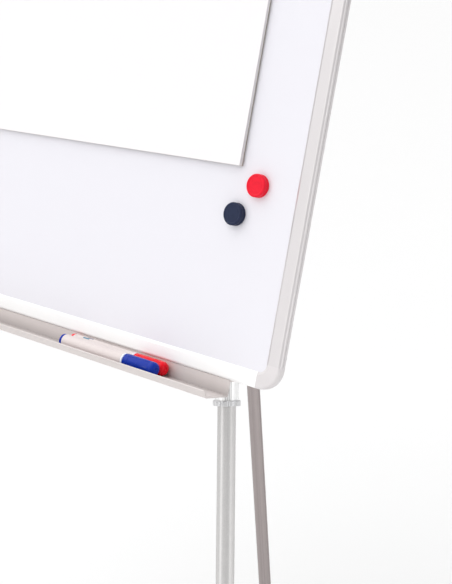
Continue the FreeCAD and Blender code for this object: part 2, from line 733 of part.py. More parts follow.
def leg(name, place):
    """One telescopic leg; its lower tube stands out as far as the floor needs."""
    downward = place.Rotation.multVec(DOWN)
    ground = Size(-place.Base.z / -downward.z, f"({place.Base.z / downward.z})")
    leg_top(f"{name}_leg_top", place)
    turned = place.multiply(Placement(point(0, 0, tube_end), Rotation(UP, 45)))
    node(f"{name}_upper_tube", fluted_tube(), turned)
    collet(f"{name}_collet", place)
    locking_collar(f"{name}_collar", place)
    lower_end = ground + d.inner_end
    lower_top = lower_end + d.inner_length
    wall = turned_body([(inner_bore, lower_end), (inner_tube, lower_end), (inner_tube, lower_top),
                        (inner_bore, lower_top)])
    node(f"{name}_lower_tube", wall, place)
    bush = tube_bore - d.collar_gap
    node(f"{name}_slide_bush", turned_body([
        (0, lower_top - d.bush_spigot), (inner_bore, lower_top - d.bush_spigot), (inner_bore, lower_top),
        (bush, lower_top), (bush, lower_top + d.bush_head), (0, lower_top + d.bush_head),
    ]), place)
    foot(f"{name}_foot", place, ground)
    print(f"{name} leg: pivot {place.Base}, down {downward}, ground {ground.value:.1f},"
          f" overlap {lower_top.value - tube_end.value:.1f}")


leg("front_left", front_leg_place(-1))
leg("front_right", front_leg_place(1))
leg("rear", rear_leg_place())


# ---------------------------------------------------------------- tripod head and leg saddles

pivot_x, pivot_z = d.leg_pivot_spacing / 2, d.leg_pivot_height
gap_front = d.leg_plane - d.eye_width / 2 - d.pivot_play
gap_back = d.leg_plane + d.eye_width / 2 + d.pivot_play
head_rear = gap_back + d.head_back
lug_inside = d.eye_width / 2 + d.pivot_play
head_screw_spots = [(side * (d.head_width / 2 - 12), height) for side in (-1, 1)
                    for height in (d.head_bottom + 10, d.head_top - 20)]


def tripod_head():
    """A bracket on the board's back: two plates that hold the front eyes, and two lugs for the rear one."""
    left, tall = -d.head_width / 2, d.head_top - d.head_bottom
    flange = 4
    base = box((left, d.rail_depth, d.head_bottom), (d.head_width, flange, tall))
    core_width = d.head_width - 48
    core = box((-core_width / 2, d.rail_depth, d.head_bottom), (core_width, gap_front - d.rail_depth, tall))
    web = box((-core_width / 2, d.rail_depth, d.head_top - d.head_web),
              (core_width, head_rear - d.rail_depth, d.head_web))
    back = box((-core_width / 2, gap_back, d.head_back_bottom),
               (core_width, d.head_back, d.head_top - d.head_back_bottom))
    rib = box((-d.head_web / 2, d.rail_depth, d.head_back_bottom),
              (d.head_web, head_rear - d.rail_depth, d.head_top - d.head_back_bottom))
    lugs = []
    for side in (-1, 1):
        start = lug_inside if side > 0 else -lug_inside - d.lug_thick
        lugs.append(box((start, head_rear - 1, pivot_z - d.lug_round / 2),
                        (d.lug_thick, d.rear_pivot_plane - head_rear + 1, d.lug_round)))
        lugs.append(cylinder((start, d.rear_pivot_plane, pivot_z), RIGHT, d.lug_round / 2, d.lug_thick))
    bolt = d.bolt_width / 2
    deep = d.bolt_head_height + head_rear
    holes = [cylinder((side * pivot_x, d.rail_depth - 1, pivot_z), BACK, bolt, deep) for side in (-1, 1)]
    holes += [hexagon((side * pivot_x, d.rail_depth - 1, pivot_z), BACK, d.nut_across + 0.3,
                      gap_front - d.rail_depth - 3.4 + 1) for side in (-1, 1)]
    holes.append(cylinder((-30, d.rear_pivot_plane, pivot_z), RIGHT, bolt, 60))
    holes += [cylinder((x, d.rail_depth - 1, z), BACK, d.screw_shank / 2, flange + 2)
              for x, z in head_screw_spots]
    node("tripod_head", cut(fuse(base, core, web, back, rib, *lugs), *holes), board)


def leg_saddle_place(side):
    """Frame of a saddle: on the leg's axis beside the board's lower edge, x pointing outwards."""
    drop = (pivot_z.value - d.guide_height.value) / math.cos(math.radians(d.leg_splay.value))
    along = front_leg_place(side).multiply(Placement(Vector(0, 0, -drop), Rotation()))
    return along if side > 0 else along.multiply(Placement(Vector(), Rotation(BACK, 180)))


saddle_screws = (-(tube + d.guide_tab / 2), tube + d.guide_wall + d.guide_tab / 2)


def leg_saddles():
    """Hooked saddles open towards the middle, so that the legs fold out of them."""
    board_back = d.rail_depth - d.leg_plane
    clear = tube + d.pivot_play
    wall = clear + d.guide_wall
    flange = board_back + d.guide_flange
    inner_end = -tube - d.guide_tab
    outer_end = wall + d.guide_tab
    rear = clear + 3.7
    outline = [
        (inner_end, board_back), (outer_end, board_back), (outer_end, flange), (wall, flange),
        (wall, rear - 4), (wall - 4, rear, 4, 1), (0, rear), (0, clear), (clear, 0, clear, -1),
        (0, -clear, clear, -1), (-tube, -clear), (-tube, flange), (inner_end, flange),
    ]
    pair = doc.addObject("Part::Compound", "pair")
    saddles = []
    for side in (-1, 1):
        body = pad_body(outline, d.guide_length)
        holes = [cylinder((x, board_back - 1, d.guide_length / 2), BACK,
                          d.screw_shank / 2, d.guide_flange + 2) for x in saddle_screws]
        saddle = cut(body, *holes)
        centred = Placement(point(0, 0, -d.guide_length / 2), Rotation())
        saddle.Placement = leg_saddle_place(side).multiply(centred)
        saddles.append(saddle)
    pair.Links = saddles
    node("leg_saddles", pair, Placement())


tripod_head()
leg_saddles()


# ---------------------------------------------------------------- fasteners

def pan_head_screw():
    """The head's underside is on z = 0 and the shank points down."""
    head, height, shank = d.screw_head / 2, d.screw_head_height, d.screw_shank / 2
    body = turned_body([
        (0, 1 - d.screw_length), (shank, 1.4 - d.screw_length), (shank, 0), (head, 0), (head, height - 1.4),
        (head - 1.4, height, 1.4, 1), (0, height),
    ])
    arm, width, deep = 1.8, 0.7, 1.2
    cross = fuse(box((-arm, -width / 2, height - deep), (2 * arm, width, 2)),
                 box((-width / 2, -arm, height - deep), (width, 2 * arm, 2)))
    return cut(body, cross)


def button_bolt():
    """The head's underside is on z = 0 and the shank points down."""
    head, height, shank = d.bolt_head / 2, d.bolt_head_height, d.bolt_width / 2
    body = turned_body([
        (0, -d.bolt_length), (shank - 0.6, -d.bolt_length), (shank, 0.6 - d.bolt_length), (shank, 0),
        (head, 0), (head, 0.8), (head - 2.4, height, 2.6, 1), (0, height),
    ])
    return cut(body, hexagon((0, 0, height - 2), UP, d.bolt_socket, 3))


def lock_nut():
    body = hexagon((0, 0, 0), UP, d.nut_across, d.nut_height)
    return cut(body, cylinder((0, 0, -1), UP, d.bolt_width / 2, d.nut_height + 2))


def driven(direction, x, y, z):
    """A fastener at this point of the board, its shank pointing along direction."""
    return on_board(Placement(point(x, y, z), Rotation(DOWN, direction)))


bracket_screw_spots = [(side * (d.clamp_length + d.bracket_width) / 2, d.clamp_bottom - d.bracket_tab + 6)
                       for side in (-1, 1)]


def saddle_screw_places(side):
    flange = d.rail_depth - d.leg_plane + d.guide_flange
    return [leg_saddle_place(side).multiply(Placement(point(x, flange, 0), Rotation(DOWN, FRONT)))
            for x in saddle_screws]


def board_screw_places():
    reach, line = corner_screw_reach, d.screw_line
    places = []
    for side in (-1, 1):
        for top in (False, True):
            for inward, upward in ((reach, line), (line, reach)):
                height = d.board_height - upward if top else upward
                places.append(driven(FRONT, side * (half_width - inward), d.rail_depth, height))
        places += saddle_screw_places(side)
    places += [driven(BACK, x, -1, z) for x, z in bracket_screw_spots]
    places += [driven(UP, spot, tray_screw_depth, -d.tray_wall) for spot in tray_screw_spots()]
    places += [driven(FRONT, x, d.rail_depth + 4, z) for x, z in head_screw_spots]
    return places


def pivot_places(front_y, rear_x):
    places = [driven(FRONT, side * pivot_x, front_y, pivot_z) for side in (-1, 1)]
    places.append(driven(LEFT, rear_x, d.rear_pivot_plane, pivot_z))
    return places


lug_outside = lug_inside + d.lug_thick
group("board_screws", pan_head_screw(), board_screw_places())
group("pivot_bolts", button_bolt(), pivot_places(head_rear, lug_outside))
group("pivot_nuts", lock_nut(),
      pivot_places(gap_front - 3.4 - d.nut_height, -lug_outside - d.nut_height))


# ---------------------------------------------------------------- sandwich panel

def panel_layers():
    """Writing sheet, core and back sheet, drilled from each face for the screws that bite into them."""
    radius = d.screw_shank / 2
    back_holes = list(head_screw_spots)
    for side in (-1, 1):
        for place in saddle_screw_places(side):
            spot = board.inverse().multVec(place.Base)
            back_holes.append((spot.x, spot.z))
    span_x = d.board_width - 2 * d.panel_inset
    span_z = d.board_height - 2 * d.panel_inset
    depth = d.panel_recess
    drilled = {"writing_panel": (d.face_sheet, True, False), "panel_core": (d.core_thick, True, True),
               "back_panel": (d.back_sheet, False, True)}
    for label, (thickness, from_front, from_back) in drilled.items():
        layer = box((d.panel_inset - half_width, depth, d.panel_inset), (span_x, thickness, span_z))
        holes = []
        if from_front:
            holes += [cylinder((x, d.panel_recess - 1, z), BACK, radius, 6) for x, z in bracket_screw_spots]
        if from_back:
            holes += [cylinder((x, panel_back + 1, z), FRONT, radius, 4) for x, z in back_holes]
        node(label, cut(layer, *holes), board)
        depth = depth + thickness


panel_layers()


# ---------------------------------------------------------------- check and export

doc.recompute()
for thing in doc.Objects:
    broken = {"Invalid", "Error"} & set(thing.State)
    if broken:
        raise RuntimeError(f"{thing.Name} ({thing.Label}) is {broken}")
for label, thing in nodes.items():
    if thing.Shape.isNull() or not thing.Shape.isValid() or not thing.Shape.Solids:
        raise RuntimeError(f"{label} has no valid solid")

os.makedirs("parts", exist_ok=True)
whole = FreeCAD.BoundBox()
for label, thing in nodes.items():
    thing.Shape.exportStep(f"parts/{label}.step")
    whole.add(thing.Shape.BoundBox)
print(f"{len(nodes)} nodes; box {whole}")
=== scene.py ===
"""Flipchart easel: finishes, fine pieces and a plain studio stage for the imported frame."""

import json
import math

import bmesh
import bpy
from mathutils import Euler, Matrix, Vector


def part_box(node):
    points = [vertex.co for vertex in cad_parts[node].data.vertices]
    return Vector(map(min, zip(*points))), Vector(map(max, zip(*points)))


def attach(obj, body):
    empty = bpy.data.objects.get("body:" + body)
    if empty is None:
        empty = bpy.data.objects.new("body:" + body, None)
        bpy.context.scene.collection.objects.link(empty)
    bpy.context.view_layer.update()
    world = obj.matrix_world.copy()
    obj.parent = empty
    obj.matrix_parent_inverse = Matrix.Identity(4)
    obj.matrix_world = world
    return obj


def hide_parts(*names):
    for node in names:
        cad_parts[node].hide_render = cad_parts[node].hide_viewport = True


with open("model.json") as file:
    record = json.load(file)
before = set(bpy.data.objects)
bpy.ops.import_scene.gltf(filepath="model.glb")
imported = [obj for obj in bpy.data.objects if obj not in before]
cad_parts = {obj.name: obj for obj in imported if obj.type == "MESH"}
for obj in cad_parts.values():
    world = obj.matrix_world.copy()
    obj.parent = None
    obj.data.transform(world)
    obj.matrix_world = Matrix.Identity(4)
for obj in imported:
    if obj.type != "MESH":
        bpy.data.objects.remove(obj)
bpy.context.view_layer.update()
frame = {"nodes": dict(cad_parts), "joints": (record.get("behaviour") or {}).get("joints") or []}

bl_info = {
    "name": "Flipchart easel",
    "version": (1, 0, 0),
    "blender": (4, 5, 0),
    "location": "View3D > Sidebar > Easel",
    "description": "Finishes and fine pieces for a flipchart easel on a telescopic tripod",
    "category": "Object",
}

MM = 0.001
LEGS = ("front_left", "front_right", "rear")
COLOURS = ("red", "blue")
ALONG = Vector((1, 0, 0))
IN_MILLIMETRES = (1000, 1000, 1000)
SAME_PLACE = 0.000002


# ---------------------------------------------------------------- places taken from the frame

def joint(name):
    """The frame's record of one joint."""
    return next(item for item in frame["joints"] if item["name"] == name)


board_back = Vector(joint("front_right_leg_fold")["axis"])
BOARD_TILT = math.atan2(-board_back.z, board_back.y)
CLAMP_HINGE = Vector((0, -12, 979)) * MM
board_turn = Matrix.Rotation(-BOARD_TILT, 4, "X")
board_foot = Vector(joint("clamp_lift")["pos_m"]) - board_turn @ CLAMP_HINGE
board_place = Matrix.Translation(board_foot) @ board_turn


def on_board(x, y, z):
    """A point of the board's own frame, in millimetres from the middle of its lower edge."""
    return board_place @ (Vector((x, y, z)) * MM)


def leg_axis(name):
    """The direction up a leg."""
    return Vector(joint(f"{name}_telescope")["axis"]).normalized()


def middle(node):
    """The middle of a CAD node's box."""
    low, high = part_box(node)
    return (Vector(low) + Vector(high)) / 2


def half_width(node):
    """Half a CAD node's width, in millimetres."""
    low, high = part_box(node)
    return (high[0] - low[0]) / 2 / MM


def half_height(node):
    """Half a CAD node's height, in millimetres."""
    low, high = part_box(node)
    return (high[2] - low[2]) / 2 / MM


# ---------------------------------------------------------------- finishes

class Finish:
    """One material: a Principled shader whose colour, roughness and relief follow patterns in
    object space."""

    def __init__(self, name, colour, roughness, metallic=0.0):
        self.material = bpy.data.materials.new(name)
        self.material.use_nodes = True
        self.tree = self.material.node_tree
        self.shader = self.tree.nodes["Principled BSDF"]
        self.colour = tuple(colour)[:3]
        self.shader.inputs["Base Color"].default_value = (*self.colour, 1)
        self.shader.inputs["Roughness"].default_value = roughness
        self.shader.inputs["Metallic"].default_value = metallic
        self.relief = None

    def set(self, **values):
        for name, value in values.items():
            self.shader.inputs[name.replace("_", " ")].default_value = value
        return self

    def node(self, kind, **settings):
        made = self.tree.nodes.new(kind)
        for name, value in settings.items():
            setattr(made, name, value)
        return made

    def link(self, source, target):
        self.tree.links.new(source, target)

    def space(self, scale=(1, 1, 1), turn=(0, 0, 0), centre=(0, 0, 0)):
        """Object coordinates, moved, turned and stretched."""
        where = self.node("ShaderNodeTexCoord")
        shift = self.node("ShaderNodeVectorMath", operation="SUBTRACT")
        shift.inputs[1].default_value = centre
        rotate = self.node("ShaderNodeMapping", vector_type="POINT")
        rotate.inputs["Rotation"].default_value = turn
        stretch = self.node("ShaderNodeVectorMath", operation="MULTIPLY")
        stretch.inputs[1].default_value = scale
        self.link(where.outputs["Object"], shift.inputs[0])
        self.link(shift.outputs["Vector"], rotate.inputs["Vector"])
        self.link(rotate.outputs["Vector"], stretch.inputs[0])
        return stretch.outputs["Vector"]

    def noise(self, space, scale, detail=3.0, roughness=0.5):
        texture = self.node("ShaderNodeTexNoise")
        texture.inputs["Scale"].default_value = scale
        texture.inputs["Detail"].default_value = detail
        texture.inputs["Roughness"].default_value = roughness
        self.link(space, texture.inputs["Vector"])
        return texture.outputs["Fac"]

    def spread(self, value, old, new):
        """Maps one range to another, clamped."""
        ranges = self.node("ShaderNodeMapRange")
        for socket, number in zip(("From Min", "From Max", "To Min", "To Max"), (*old, *new)):
            ranges.inputs[socket].default_value = number
        self.link(value, ranges.inputs["Value"])
        return ranges.outputs["Result"]

    def math(self, operation, first, second=None):
        step = self.node("ShaderNodeMath", operation=operation)
        for socket, value in zip(step.inputs, (first, second)):
            if isinstance(value, (int, float)):
                socket.default_value = value
            elif value is not None:
                self.link(value, socket)
        return step.outputs["Value"]

    def parts(self, vector):
        """The three numbers of a vector."""
        split = self.node("ShaderNodeSeparateXYZ")
        self.link(vector, split.inputs["Vector"])
        return split.outputs

    def band(self, value, low, high, soft):
        """1 between two limits, 0 outside them."""
        rise = self.spread(value, (low - soft, low), (0, 1))
        fall = self.spread(value, (high, high + soft), (1, 0))
        return self.math("MULTIPLY", rise, fall)

    def flakes(self, space, scale):
        """A different level in each cell of a crystal pattern."""
        texture = self.node("ShaderNodeTexVoronoi")
        texture.inputs["Scale"].default_value = scale
        self.link(space, texture.inputs["Vector"])
        grey = self.node("ShaderNodeRGBToBW")
        self.link(texture.outputs["Color"], grey.inputs["Color"])
        return grey.outputs["Val"]

    def edges(self, width):
        """Near 1 on convex and concave edges, 0 on open faces."""
        open_face, sharp_edge = 0.995, 0.86
        bevel = self.node("ShaderNodeBevel", samples=4)
        bevel.inputs["Radius"].default_value = width
        face = self.node("ShaderNodeNewGeometry")
        dot = self.node("ShaderNodeVectorMath", operation="DOT_PRODUCT")
        self.link(bevel.outputs["Normal"], dot.inputs[0])
        self.link(face.outputs["Normal"], dot.inputs[1])
        return self.spread(dot.outputs["Value"], (open_face, sharp_edge), (0, 1))

    def paint(self, mask, colour):
        """Lays a second colour over what is there, where the mask is 1."""
        blend = self.node("ShaderNodeMix", data_type="RGBA")
        target = self.shader.inputs["Base Color"]
        if target.is_linked:
            self.link(target.links[0].from_socket, blend.inputs["A"])
        else:
            blend.inputs["A"].default_value = (*self.colour, 1)
        blend.inputs["B"].default_value = (*tuple(colour)[:3], 1)
        self.link(mask, blend.inputs["Factor"])
        self.link(blend.outputs["Result"], target)
        return self

    def polish(self, value):
        self.link(value, self.shader.inputs["Roughness"])
        return self

    def emboss(self, height, depth, strength=1.0):
        """Relief of this depth in metres, laid over any relief that is there."""
        bump = self.node("ShaderNodeBump")
        bump.inputs["Distance"].default_value = depth
        bump.inputs["Strength"].default_value = strength
        self.link(height, bump.inputs["Height"])
        if self.relief is not None:
            self.link(self.relief, bump.inputs["Normal"])
        self.relief = bump.outputs["Normal"]
        self.link(self.relief, self.shader.inputs["Normal"])
        return self


def shade(colour, factor):
    """A lighter or darker version of a colour."""
    return tuple(min(1.0, part * factor) for part in tuple(colour)[:3])


def turn_upright(direction):
    """The turn that lays a pattern's z along a direction."""
    return direction.rotation_difference(Vector((0, 0, 1))).to_euler()


def enamel(name, colour):
    """Vitreous white steel, wiped many times: a hard gloss with a faint haze."""
    finish = Finish(name, colour, 0.32).set(Coat_Weight=0.12, Coat_Roughness=0.25)
    board = finish.space(turn=(BOARD_TILT, 0, 0))
    haze = finish.noise(board, 5, 4, 0.6)
    strokes = finish.noise(finish.space(scale=(3, 40, 22), turn=(BOARD_TILT, 0, 0.35)), 2, 3)
    finish.polish(finish.spread(finish.math("MULTIPLY", haze, strokes), (0.12, 0.42), (0.3, 0.38)))
    finish.paint(finish.spread(haze, (0.45, 0.75), (0, 0.3)), shade(colour, 0.985))
    return finish.emboss(finish.noise(board, 900, 2), 0.00001, 0.25)


def extrusion(name, colour, along, roughness=0.34, metallic=1.0):
    """Satin anodised aluminium with die lines along the section and lighter rubbed edges."""
    finish = Finish(name, colour, roughness, metallic)
    turn = turn_upright(along)
    lines = finish.noise(finish.space(scale=(1, 1, 0.004), turn=turn), 2600, 2)
    cloud = finish.noise(finish.space(scale=(1, 1, 0.2), turn=turn), 60, 3)
    sheen = (roughness - 0.07, roughness + 0.09)
    finish.polish(finish.spread(finish.math("ADD", lines, cloud), (0.7, 1.3), sheen))
    finish.paint(finish.spread(cloud, (0.4, 0.75), (0, 0.5)), shade(colour, 0.95))
    finish.paint(finish.math("MULTIPLY", finish.edges(0.0005), 0.35), shade(colour, 1.08))
    return finish.emboss(lines, 0.00002, 0.35)


def moulded(name, colour, roughness=0.5, grain=1500, depth=0.00004, metallic=0.0):
    """Injection-moulded plastic with a spark-eroded grain, dusty hollows and worn edges."""
    finish = Finish(name, colour, roughness, metallic).set(Specular_IOR_Level=0.45)
    place = finish.space()
    cloud = finish.noise(place, 45, 3)
    finish.polish(finish.spread(cloud, (0.3, 0.7), (roughness - 0.06, roughness + 0.08)))
    finish.paint(finish.spread(cloud, (0.45, 0.8), (0, 0.5)), shade(colour, 0.93))
    finish.paint(finish.math("MULTIPLY", finish.edges(0.0006), 0.45), shade(colour, 1.15))
    return finish.emboss(finish.noise(place, grain, 2), depth, 0.5)


def galvanised(name, colour):
    """Hot-dip zinc sheet: crystals of slightly different grey, each with its own sheen."""
    finish = Finish(name, colour, 0.4, 1.0)
    place = finish.space(turn=(BOARD_TILT, 0, 0))
    crystals = finish.flakes(place, 130)
    finish.polish(finish.spread(crystals, (0.1, 0.9), (0.3, 0.5)))
    finish.paint(finish.spread(crystals, (0.2, 0.9), (0, 0.8)), shade(colour, 0.8))
    finish.paint(finish.spread(finish.noise(place, 6, 3), (0.5, 0.75), (0, 0.4)), shade(colour, 1.15))
    return finish.emboss(finish.noise(place, 900, 2), 0.00002, 0.3)


def fluted(name, colour, axis, sideways, centre):
    """Tube anodising with painted shade in its fine flutes, a dark line in each; centre is any point of the
    tube's axis, and the flutes are set out in millimetres from it."""
    flutes_end, inner_skin, outer_skin = 3.4, 10.4, 10.9
    finish = extrusion(name, colour, axis, 0.48, 0.9)
    frame_turn = Matrix((sideways.cross(axis), sideways, axis)).to_euler()
    place = finish.space(scale=IN_MILLIMETRES, turn=frame_turn, centre=centre)
    turned = finish.node("ShaderNodeMapping", vector_type="POINT")
    turned.inputs["Rotation"].default_value = (0, 0, math.radians(45))
    finish.link(place, turned.inputs["Vector"])
    first, second, _ = finish.parts(turned.outputs["Vector"])
    lines = []
    for along, outwards in ((first, second), (second, first)):
        near = finish.band(along, -flutes_end, flutes_end, 0.1)
        outside = finish.spread(finish.math("ABSOLUTE", outwards), (inner_skin, outer_skin), (0, 1))
        wave = finish.math("COSINE", finish.math("MULTIPLY", along, math.pi))
        line = finish.spread(wave, (-0.55, -0.85), (0, 1))
        lines.append(finish.math("MULTIPLY", finish.math("MULTIPLY", near, outside), line))
    # Painted shade: each fine flute is darkened where shade falls in it
    finish.paint(finish.math("MAXIMUM", *lines), shade(colour, 0.3))
    return finish


def knurled(name, colour, axis, centre):
    """A cross-brushed tube: fine crossed lines, scratches and soft long brushing bands round it that vary
    its sheen and whose darker colour is painted reflection; centre is any point of the tube's axis."""
    starts, radians_per_metre = 24, 2526
    finish = Finish(name, colour, 0.5, 1.0)
    turn = turn_upright(axis)
    sheen_and_reflection_bands = finish.noise(finish.space(scale=(1, 1, 0.002), turn=turn), 260, 1)
    grain = finish.noise(finish.space(scale=(1, 1, 0.35), turn=turn), 1900, 3, 0.6)
    finish.polish(finish.spread(finish.math("ADD", sheen_and_reflection_bands, grain), (0.75, 1.3), (0.42, 0.6)))
    # Painted reflection: the soft long bands round the tube are darkened to stand for reflected bands of the
    # room
    finish.paint(finish.spread(sheen_and_reflection_bands, (0.42, 0.6), (0, 0.45)), shade(colour, 0.72))
    finish.paint(finish.spread(grain, (0.5, 0.75), (0, 0.55)), shade(colour, 1.3))
    x, y, z = finish.parts(finish.space(turn=turn, centre=centre))
    round_it = finish.math("MULTIPLY", finish.math("ARCTAN2", y, x), starts)
    up_it = finish.math("MULTIPLY", z, radians_per_metre)
    crossing = [finish.math("SINE", finish.math(way, round_it, up_it)) for way in ("ADD", "SUBTRACT")]
    hatch = finish.math("MULTIPLY", *crossing)
    finish.paint(finish.spread(hatch, (0, 1), (0, 0.4)), shade(colour, 1.2))
    finish.emboss(hatch, 0.00003, 0.6)
    return finish.emboss(grain, 0.00004, 0.6)


def plated(name, colour, roughness=0.3):
    """Zinc-plated steel: bright, with a fine spangle and duller patches."""
    finish = Finish(name, colour, roughness, 1.0)
    place = finish.space()
    patches = finish.noise(place, 350, 4)
    finish.polish(finish.spread(patches, (0.3, 0.7), (roughness - 0.08, roughness + 0.14)))
    finish.paint(finish.spread(patches, (0.5, 0.75), (0, 0.5)), shade(colour, 0.82))
    finish.paint(finish.math("MULTIPLY", finish.edges(0.0003), 0.5), shade(colour, 1.2))
    return finish.emboss(finish.noise(place, 2500, 2), 0.00002, 0.3)


def rubber(name, colour):
    """Moulded rubber: matte, with scuffs and a bloom of dust low down."""
    finish = Finish(name, colour, 0.8).set(Specular_IOR_Level=0.3)
    place = finish.space()
    scuffs = finish.noise(place, 160, 5, 0.65)
    finish.polish(finish.spread(scuffs, (0.35, 0.7), (0.68, 0.92)))
    finish.paint(finish.spread(scuffs, (0.55, 0.75), (0, 0.35)), (0.16, 0.155, 0.15))
    finish.paint(finish.math("MULTIPLY", finish.edges(0.0008), 0.4), (0.2, 0.195, 0.19))
    return finish.emboss(finish.noise(place, 1800, 3), 0.00008, 0.6)


def paper(name, colour):
    """Uncoated paper: fibres in the sheet and the lines of the stack on its edges."""
    finish = Finish(name, colour, 0.85).set(Specular_IOR_Level=0.25)
    turn = (BOARD_TILT, 0, 0)
    fibre = finish.noise(finish.space(turn=turn), 700, 4, 0.6)
    leaves = finish.noise(finish.space(scale=(0.01, 1, 0.01), turn=turn), 5200, 1)
    finish.paint(finish.spread(fibre, (0.5, 0.75), (0, 0.4)), shade(colour, 0.975))
    finish.emboss(leaves, 0.0002, 0.5)
    return finish.emboss(fibre, 0.00003, 0.3)


def card(name, colour):
    """Grey-brown chipboard with flecks of pulp."""
    finish = Finish(name, colour, 0.9).set(Specular_IOR_Level=0.2)
    place = finish.space()
    flecks = finish.noise(place, 420, 5, 0.7)
    finish.paint(finish.spread(flecks, (0.58, 0.72), (0, 0.8)), shade(colour, 0.72))
    finish.paint(finish.spread(finish.noise(place, 260, 4), (0.6, 0.75), (0, 0.6)), shade(colour, 1.25))
    return finish.emboss(flecks, 0.00008, 0.6)


def felt(name, colour):
    """Ink-soaked fibre."""
    finish = Finish(name, colour, 0.95).set(Sheen_Weight=0.3)
    fibres = finish.noise(finish.space(scale=(0.15, 1, 1)), 3000, 3)
    finish.paint(finish.spread(fibres, (0.5, 0.8), (0, 0.7)), shade(colour, 0.55))
    return finish.emboss(fibres, 0.0001, 0.7)


def gloss(name, colour, roughness=0.28, mottle=0.9):
    """Polished plastic, handled: faint mottling and fine scratches."""
    finish = Finish(name, colour, roughness).set(Specular_IOR_Level=0.2)
    place = finish.space()
    cloud = finish.noise(place, 240, 4, 0.6)
    scratches = finish.noise(finish.space(scale=(1, 14, 14), turn=(0.4, 0.3, 0.2)), 300, 2)
    sheen = (roughness - 0.05, roughness + 0.16)
    finish.polish(finish.spread(finish.math("ADD", cloud, scratches), (0.75, 1.3), sheen))
    finish.paint(finish.spread(cloud, (0.4, 0.75), (0, 0.6)), shade(colour, mottle))
    finish.paint(finish.math("MULTIPLY", finish.edges(0.0005), 0.3), shade(colour, 1.25))
    return finish.emboss(cloud, 0.00006, 0.3)


def dress(node, finish):
    """Gives a CAD node its finish."""
    thing = frame["nodes"][node]
    if not thing.material_slots:
        thing.data.materials.append(None)
    for slot in thing.material_slots:
        slot.material = finish.material


# ---------------------------------------------------------------- mesh helpers

def keep(name, mesh_builder, finish, body, replaced=(), smooth=40):
    """Turns a bmesh into a mesh and presents it as a piece."""
    mesh = bpy.data.meshes.new(name)
    bmesh.ops.recalc_face_normals(mesh_builder, faces=mesh_builder.faces)
    mesh_builder.to_mesh(mesh)
    mesh_builder.free()
    return present(name, mesh, finish, body, replaced, smooth)


def present(name, mesh, finish, body, replaced=(), smooth=40):
    """Puts a mesh into the scene as a smooth piece that rides on a CAD body."""
    mesh.materials.clear()
    mesh.materials.append(finish.material)
    mesh.shade_smooth()
    mesh.set_sharp_from_angle(angle=math.radians(smooth))
    piece = bpy.data.objects.new(name, mesh)
    bpy.context.scene.collection.objects.link(piece)
    if replaced:
        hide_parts(*replaced)
    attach(piece, body)
    return piece


def softened(node, finish, body, width, segments=2):
    """A copy of a CAD node with its vertices merged and its edges rounded over."""
    source = frame["nodes"][node].data
    built = bmesh.new()
    built.from_mesh(source)
    bmesh.ops.remove_doubles(built, verts=built.verts, dist=SAME_PLACE)
    bmesh.ops.dissolve_limit(built, angle_limit=math.radians(1), verts=built.verts, edges=built.edges)
    mesh = bpy.data.meshes.new(f"{node}_soft")
    built.to_mesh(mesh)
    built.free()
    return rounded(present(f"{node}_soft", mesh, finish, body, (node,), 35), width, segments)


def spun(profile, place, steps=56):
    """An outline of (radius, distance) in millimetres spun round the z of a placement; one that
    doesn't start on the axis is a ring, and is closed."""
    built = bmesh.new()
    corners = [built.verts.new((radius * MM, 0, along * MM)) for radius, along in profile]
    lines = [built.edges.new(pair) for pair in zip(corners, corners[1:])]
    if profile[0][0] > 0:
        lines.append(built.edges.new((corners[-1], corners[0])))
    bmesh.ops.spin(built, geom=corners + lines, cent=(0, 0, 0), axis=(0, 0, 1), dvec=(0, 0, 0),
                   angle=math.tau, steps=steps, use_merge=True, use_duplicate=False)
    bmesh.ops.remove_doubles(built, verts=built.verts, dist=0.000005)
    bmesh.ops.transform(built, matrix=place, verts=built.verts)
    return built


def rounded(piece, width, segments=3):
    """Rounds a piece's sharp edges."""
    rounding = piece.modifiers.new("rounded edges", "BEVEL")
    rounding.width = width
    rounding.segments = segments
    rounding.limit_method = "ANGLE"
    rounding.angle_limit = math.radians(30)
    rounding.harden_normals = True
    return piece


def pointing(direction, start):
    """A placement whose z runs along a direction from a point."""
    turn = Vector((0, 0, 1)).rotation_difference(direction).to_matrix().to_4x4()
    return Matrix.Translation(start) @ turn


# ---------------------------------------------------------------- settings

def colour_setting(name, description, default):
    """A colour in the add-on's settings."""
    return bpy.props.FloatVectorProperty(name=name, description=description, subtype="COLOR", size=3,
                                         min=0, max=1, default=default)


class EaselBoardSettings(bpy.types.PropertyGroup):
    enamel: colour_setting("Enamel", "Colour of the writing surface", (0.775, 0.765, 0.812))
    # One anodised aluminium in two colours: the upright rails darker as painted shade, the level rails near
    # white as painted light
    upright_rail_shaded_colour: colour_setting("Upright rails, painted shade", "Colour of the rails brushed upright, darkened as painted shade", (0.67, 0.645, 0.65))
    level_rail_lit_colour: colour_setting("Level rails, painted light", "Colour of the rails brushed sideways, lightened as painted light", (0.95, 0.95, 0.945))
    corner: colour_setting("Corners", "Colour of the moulded corner caps", (0.685, 0.655, 0.66))
    zinc: colour_setting("Back sheet", "Colour of the zinc-coated back", (0.52, 0.53, 0.55))
    honeycomb: colour_setting("Core", "Colour of the cardboard core", (0.4, 0.3, 0.18))


class EaselTraySettings(bpy.types.PropertyGroup):
    metal: colour_setting("Tray", "Colour of the anodised pen tray", (0.67, 0.62, 0.605))
    # Reach of the painted shade along the tray's inner corner
    corner_shade_reach: bpy.props.FloatProperty(name="Painted corner shade",
                                  description="How far the painted shade spreads from the tray's inner corner",
                                  default=0.011, min=0.001, unit="LENGTH")


class EaselClampSettings(bpy.types.PropertyGroup):
    metal: colour_setting("Clamp", "Colour of the clamp's extrusions", (0.78, 0.78, 0.78))
    bracket: colour_setting("Brackets", "Colour of the end brackets", (0.1, 0.105, 0.11))
    grip: colour_setting("Grip strip", "Colour of the rubber strip", (0.03, 0.03, 0.03))


